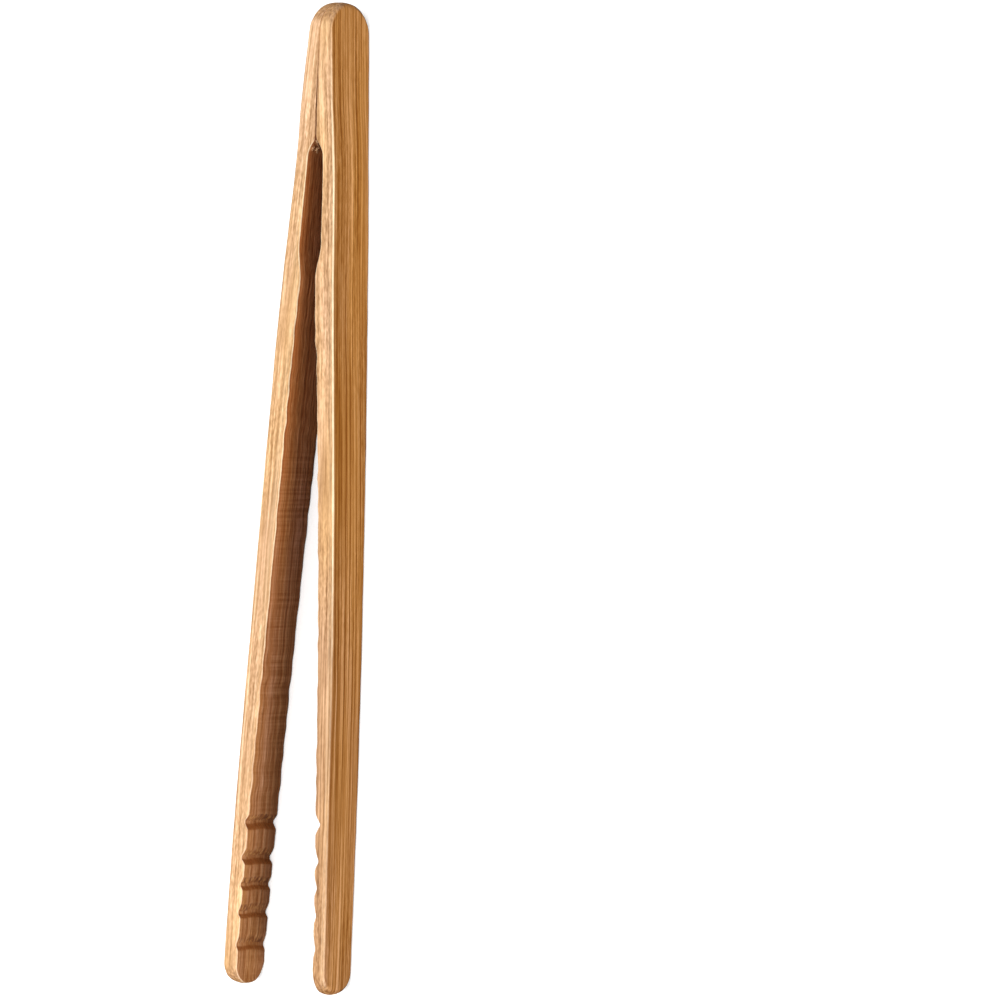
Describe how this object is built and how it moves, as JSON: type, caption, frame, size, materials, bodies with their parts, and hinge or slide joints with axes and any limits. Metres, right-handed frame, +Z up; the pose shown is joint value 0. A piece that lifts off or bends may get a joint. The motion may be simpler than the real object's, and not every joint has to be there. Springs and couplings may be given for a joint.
{
  "type": "print tongs",
  "caption": "Plain bamboo print tongs: slim strips glued at one end, thinned behind the joint to spring apart, with cross grooves inside the rounded tips.",
  "frame": {"origin": "middle of the length and of the opening, on the surface that the tongs lie on with their lower edges", "axes": "+Y along the tongs towards the joined end, X the way the arms open, +Z up across the width of the strips"},
  "size_m": [0.0398, 0.3, 0.0184],
  "materials": {
    "bamboo": "carbonised bamboo, planed and lightly sanded, satin, with long fibre streaks and paler eased corners",
    "glue": "cured wood glue, dark amber, slightly glossy"
  },
  "bodies": {
    "head": {"left_head": "bamboo", "right_head": "bamboo", "glue_line": "glue", "glue_bead": "glue", "left_spring": "bamboo", "right_spring": "bamboo"},
    "left_arm": {"left_blade": "bamboo"},
    "right_arm": {"right_blade": "bamboo"}
  },
  "joints": [
    {"name": "left_arm_squeeze", "type": "hinge", "parent": "head", "child": "left_arm", "pos_m": [-0.0061, 0.089, 0.0086], "axis": [0, 0, 1], "range_deg": [-2, 3.55], "stiffness_Nm_per_rad": 25, "deforming": ["left_spring"]},
    {"name": "right_arm_squeeze", "type": "hinge", "parent": "head", "child": "right_arm", "pos_m": [0.0061, 0.089, 0.0086], "axis": [0, 0, -1], "range_deg": [-2, 3.55], "stiffness_Nm_per_rad": 25, "deforming": ["right_spring"]}
  ]
}
